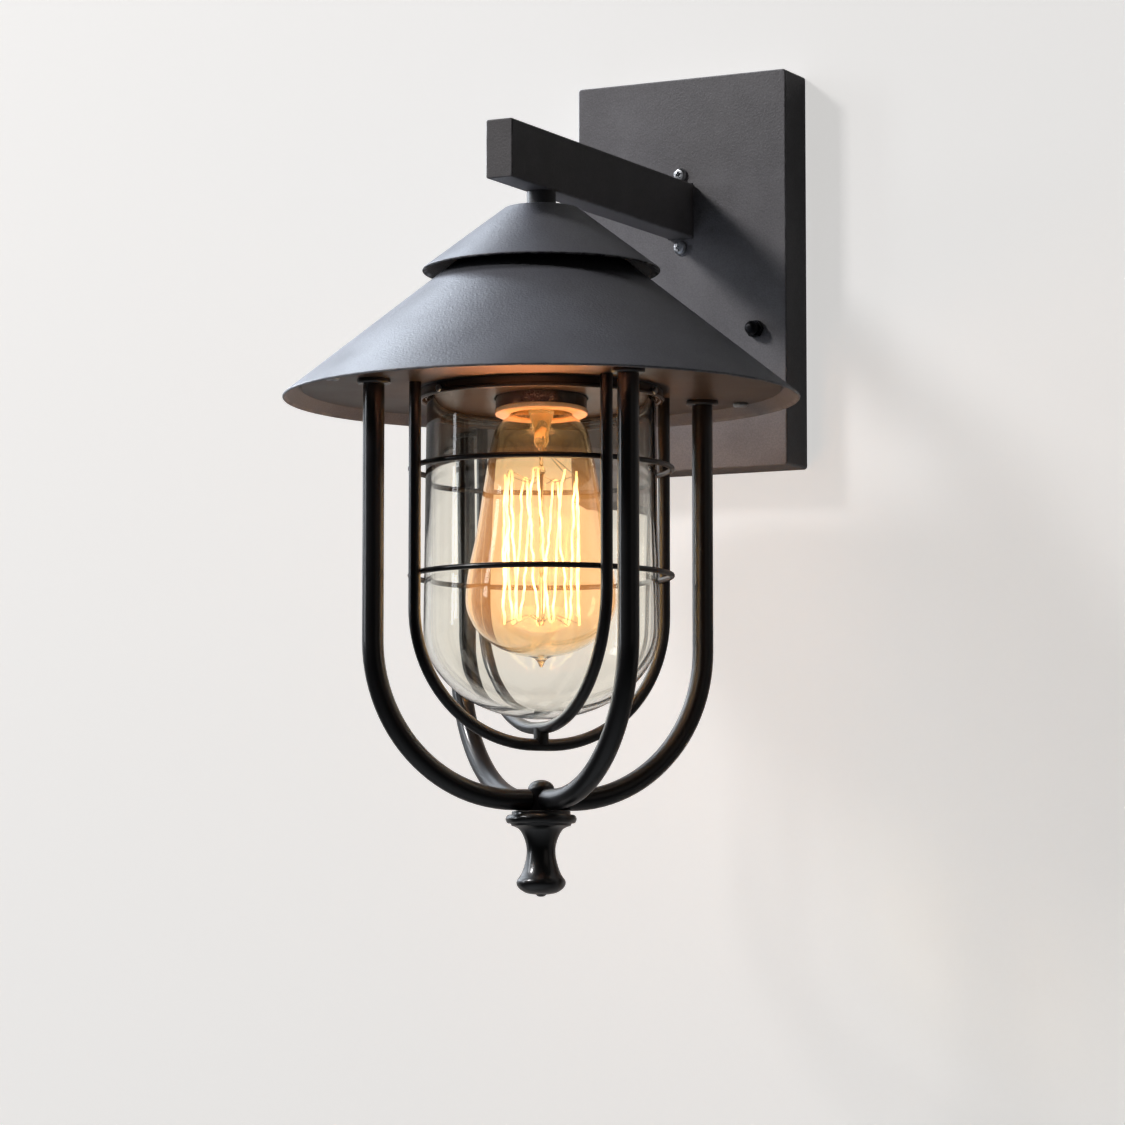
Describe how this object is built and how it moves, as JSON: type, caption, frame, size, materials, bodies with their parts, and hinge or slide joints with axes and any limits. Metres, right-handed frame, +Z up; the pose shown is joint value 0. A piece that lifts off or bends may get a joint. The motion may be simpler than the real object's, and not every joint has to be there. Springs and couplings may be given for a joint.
{
  "type": "caged lantern wall light",
  "caption": "Wall light: a square arm on a box plate carries a coned double roof over a glass jar with a lamp, inside a bent-bar cage with a turned finial.",
  "frame": {"origin": "centre of the wall plate's back edge, on the wall, midway between the two wall screws", "axes": "+Y into the wall, +Z up, +X to the right of someone facing the wall; the lantern hangs towards -Y"},
  "size_m": [0.22, 0.2684, 0.3735],
  "materials": {
    "plate_coat": "matt charcoal powder coat",
    "arm_coat": "matt charcoal powder coat",
    "shade_coat": "matt charcoal powder coat",
    "base_coat": "satin dark coat",
    "cage_coat": "semi-gloss black",
    "cage_gloss": "gloss black",
    "black_nut": "blackened steel",
    "zinc_steel": "zinc plated",
    "brass": "plain",
    "tin": "solder",
    "rubber": "matt",
    "jar_glass": "clear blown glass",
    "bulb_glass": "clear glass with a faint amber tint",
    "stem_glass": "clear glass",
    "black_glass": "black glass insulator",
    "black_phenolic": "moulded black phenolic",
    "white_plastic": "moulded",
    "lead_sheath": "silicone sheath",
    "filament": "lit carbon filament",
    "filament_wire": "nickel wire"
  },
  "bodies": {
    "root": {"arm_end_cap": "arm_coat", "arm_foot": "zinc_steel", "arm_foot_screws": "zinc_steel", "arm_tube": "arm_coat", "bar_flanges": "cage_coat", "bar_nuts": "zinc_steel", "base_plate": "base_coat", "base_screws": "zinc_steel", "cage_hub": "cage_coat", "centre_contact": "brass", "clamp_screws": "zinc_steel", "clamp_tubes": "brass", "cover_studs": "zinc_steel", "earth_nut": "brass", "earth_stud": "brass", "glass_jar": "jar_glass", "hoop_nuts": "zinc_steel", "hoop_spacer": "cage_coat", "hub_bolt": "cage_gloss", "inner_hoop_high": "cage_coat", "inner_hoop_low": "cage_coat", "jar_collar": "base_coat", "jar_gasket": "rubber", "lampholder_body": "black_phenolic", "lampholder_cap": "black_phenolic", "lower_ring": "cage_coat", "neck": "arm_coat", "outer_bar_back_left": "cage_coat", "outer_bar_back_right": "cage_coat", "outer_bar_front_left": "cage_coat", "outer_bar_front_right": "cage_coat", "roof_cap": "shade_coat", "roof_spacer": "cage_coat", "screw_shell": "brass", "set_screws": "zinc_steel", "shade": "shade_coat", "shade_bosses": "zinc_steel", "supply_lead": "lead_sheath", "terminal_block": "white_plastic", "threaded_tube": "zinc_steel", "tube_nut": "zinc_steel", "upper_ring": "cage_coat", "wall_bracket": "zinc_steel", "wall_plate": "plate_coat"},
    "bulb": {"bulb_cap": "brass", "bulb_insulator": "black_glass", "bulb_contact": "tin", "bulb_glass": "bulb_glass", "bulb_stem": "stem_glass", "filament": "filament", "filament_supports": "filament_wire", "lead_wires": "filament_wire"},
    "finial": {"finial": "cage_gloss"},
    "cap_nut_left": {"cap_nut_left": "black_nut"},
    "cap_nut_right": {"cap_nut_right": "black_nut"}
  },
  "joints": [
    {"name": "bulb_turn", "type": "hinge", "parent": "root", "child": "bulb", "pos_m": [0, -0.1584, -0.07], "axis": [0, 0, -1], "range_deg": [0, 900]},
    {"name": "finial_turn", "type": "hinge", "parent": "root", "child": "finial", "pos_m": [0, -0.1584, -0.25], "axis": [0, 0, -1], "range_deg": [0, 4500]},
    {"name": "cap_nut_left_turn", "type": "hinge", "parent": "root", "child": "cap_nut_left", "pos_m": [-0.0375, -0.0235, -0.0278], "axis": [0, -1, 0], "range_deg": [0, 2700]},
    {"name": "cap_nut_right_turn", "type": "hinge", "parent": "root", "child": "cap_nut_right", "pos_m": [0.0375, -0.0235, -0.0278], "axis": [0, -1, 0], "range_deg": [0, 2700]}
  ]
}
